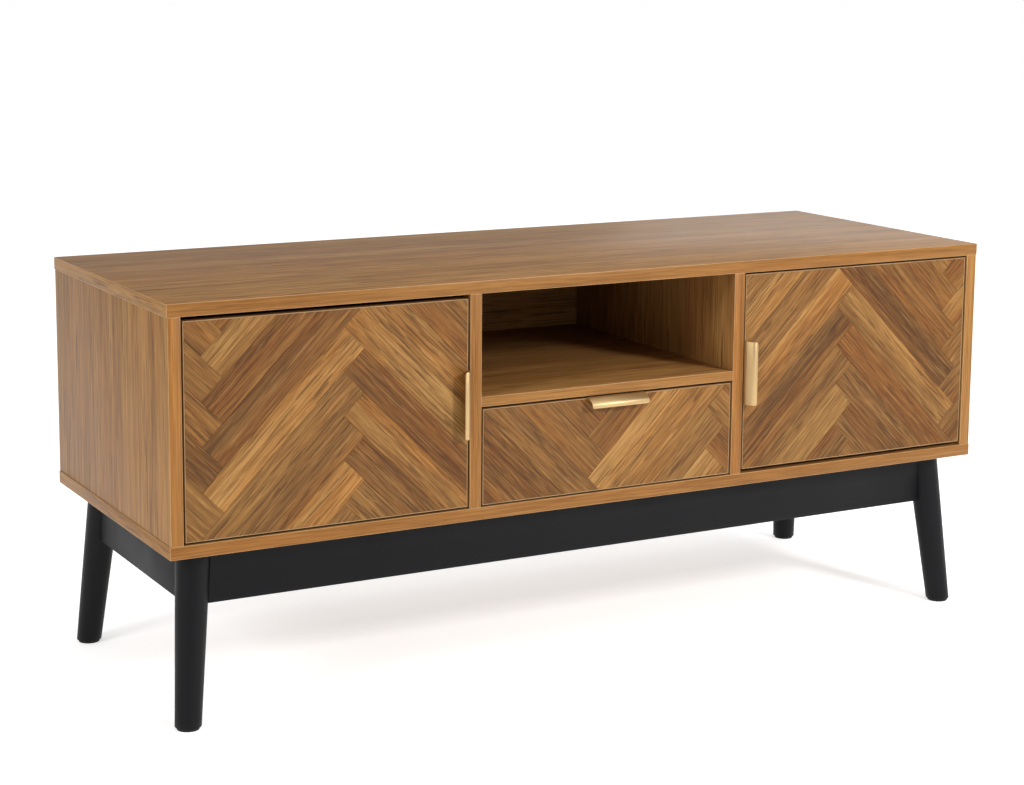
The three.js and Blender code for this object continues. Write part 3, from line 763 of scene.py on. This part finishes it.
def add_slide_screws(heads, side):
    """Three flat screws through the web of each of a slide's two rails."""
    inward = 1 if side == "left" else -1
    low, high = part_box(f"cabinet_rail_{side}")
    box_low, box_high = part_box(f"drawer_side_{side}")
    web = low.x + RAIL_SHEET if side == "left" else high.x - RAIL_SHEET
    face = box_low.x - RAIL_SHEET if side == "left" else box_high.x + RAIL_SHEET
    for share in CABINET_RAIL_SHARES:
        place = (web, low.y + share * (high.y - low.y), low.z + RAIL_SCREW_RISE)
        heads["case"].append((place, (inward, 0, 0), LOW_HEIGHT))
    for share in DRAWER_RAIL_SHARES:
        place = (face, low.y + share * (high.y - low.y), low.z + RAIL_SCREW_RISE)
        heads["drawer"].append((place, (-inward, 0, 0), LOW_HEIGHT))


def add_handle_screws(heads, node):
    """Two screws in the tab of a handle, behind its door or drawer front."""
    low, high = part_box(node)
    middle = (low + high) / 2
    body = NODE_BODY[node]
    for along in HANDLE_SCREWS_ALONG:
        if node == "handle_drawer":
            place = (middle.x + along, high.y, low.z + HANDLE_SCREW_IN)
        elif node.endswith("left"):
            place = (low.x + HANDLE_SCREW_IN, high.y, middle.z + along)
        else:
            place = (high.x - HANDLE_SCREW_IN, high.y, middle.z + along)
        heads[body].append((place, Y, SCREW_HEIGHT))


def build_screws():
    """One piece for all the screw heads on each body."""
    heads = {"case": [], "door_left": [], "door_right": [], "drawer": []}
    for side in ("left", "right"):
        for level in ("lower", "upper"):
            add_hinge_screws(heads, side, level)
        add_slide_screws(heads, side)
    for node in ("handle_door_left", "handle_door_right", "handle_drawer"):
        add_handle_screws(heads, node)
    for body, places in heads.items():
        bm = bmesh.new()
        for place, outward, height in places:
            add_screw_head(bm, place, outward, height)
        screws = new_piece(f"screws_{body}", bm, smooth_below=30)
        screws.data.materials.append(ZINC)
        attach(screws, body)


build_screws()


# ---- Floor, light and camera ----

SURROUND = 0.52            # brightness of the white surround as a light
FLOOR_HALF_SIZE = 30
FLOOR_GREY = 0.92
FLOOR_GLOW = 0.52          # keeps the far floor as white as the surround

# Name, place, size, power in watts and the point that the softbox faces.
MIDDLE = (0, 0, 0.3)
SOFTBOXES = [
    ("softbox_left", (-3.3, -1.1, 1.9), (1.0, 1.0), 44, MIDDLE),
    ("softbox_right", (0.9, -2.0, 1.3), (0.35, 0.35), 35, MIDDLE),
    ("overhead", (0.8, -0.4, 3.2), (2.2, 1.8), 30, MIDDLE),
    ("rear_right", (3.2, 2.6, 1.0), (2.6, 1.0), 11, (0.3, 0, 0.45)),
]

CAMERA_PLACE = (-1.3498, -2.3950, 0.8696)
CAMERA_AZIMUTH = -28.84
CAMERA_ELEVATION = 8.98
CAMERA_ROLL = 0.45
LENS = 76.9
SHIFT_Y = -0.1


def build_floor():
    """A plain pale floor that runs out to the surround."""
    bm = bmesh.new()
    bmesh.ops.create_grid(bm, x_segments=1, y_segments=1, size=FLOOR_HALF_SIZE)
    floor = new_piece("floor", bm)
    material, _, _ = new_material(
        "pale_floor", Base_Color=(FLOOR_GREY, FLOOR_GREY, FLOOR_GREY, 1.0), Roughness=0.9,
        Specular_IOR_Level=0.1, Emission_Color=(1.0, 1.0, 1.0, 1.0), Emission_Strength=FLOOR_GLOW,
    )
    floor.data.materials.append(material)


def add_light(name, place, size, power, aim):
    """A soft rectangular light that faces a point and doesn't show itself."""
    data = bpy.data.lights.new(name, "AREA")
    data.shape = "RECTANGLE"
    data.size, data.size_y = size
    data.energy = power
    light = bpy.data.objects.new(name, data)
    light.location = place
    light.rotation_euler = (Vector(aim) - Vector(place)).to_track_quat("-Z", "Y").to_euler()
    light.visible_camera = False
    bpy.context.scene.collection.objects.link(light)


def build_light():
    """A white surround that lights the object softly, with softboxes in front, above and behind."""
    world = bpy.data.worlds.new("studio")
    world.use_nodes = True
    tree = world.node_tree
    seen = shader_node(tree, "LightPath").outputs["Is Camera Ray"]
    tree.links.new(remap(tree, seen, 0, 1, SURROUND, 1.0), tree.nodes["Background"].inputs["Strength"])
    tree.nodes["Background"].inputs["Color"].default_value = (1.0, 1.0, 1.0, 1.0)
    bpy.context.scene.world = world
    for softbox in SOFTBOXES:
        add_light(*softbox)


def build_camera():
    """A long lens in front of the stand and to its left, a little above its top."""
    angles = (CAMERA_AZIMUTH, CAMERA_ELEVATION, CAMERA_ROLL)
    azimuth, elevation, roll = (math.radians(angle) for angle in angles)
    back = Vector((math.sin(azimuth) * math.cos(elevation),
                   -math.cos(azimuth) * math.cos(elevation), math.sin(elevation)))
    right = (-back).cross(Vector(Z)).normalized()
    up = back.cross(right)
    across = right * math.cos(roll) + up * math.sin(roll)
    upward = up * math.cos(roll) - right * math.sin(roll)
    data = bpy.data.cameras.new("camera")
    data.sensor_width = 36
    data.lens = LENS
    data.shift_y = SHIFT_Y
    camera = bpy.data.objects.new("camera", data)
    turn = Matrix((across, upward, back)).transposed().to_4x4()
    camera.matrix_world = Matrix.Translation(CAMERA_PLACE) @ turn
    bpy.context.scene.collection.objects.link(camera)
    bpy.context.scene.camera = camera


build_floor()
build_light()
build_camera()
bpy.context.scene.view_settings.view_transform = "Standard"
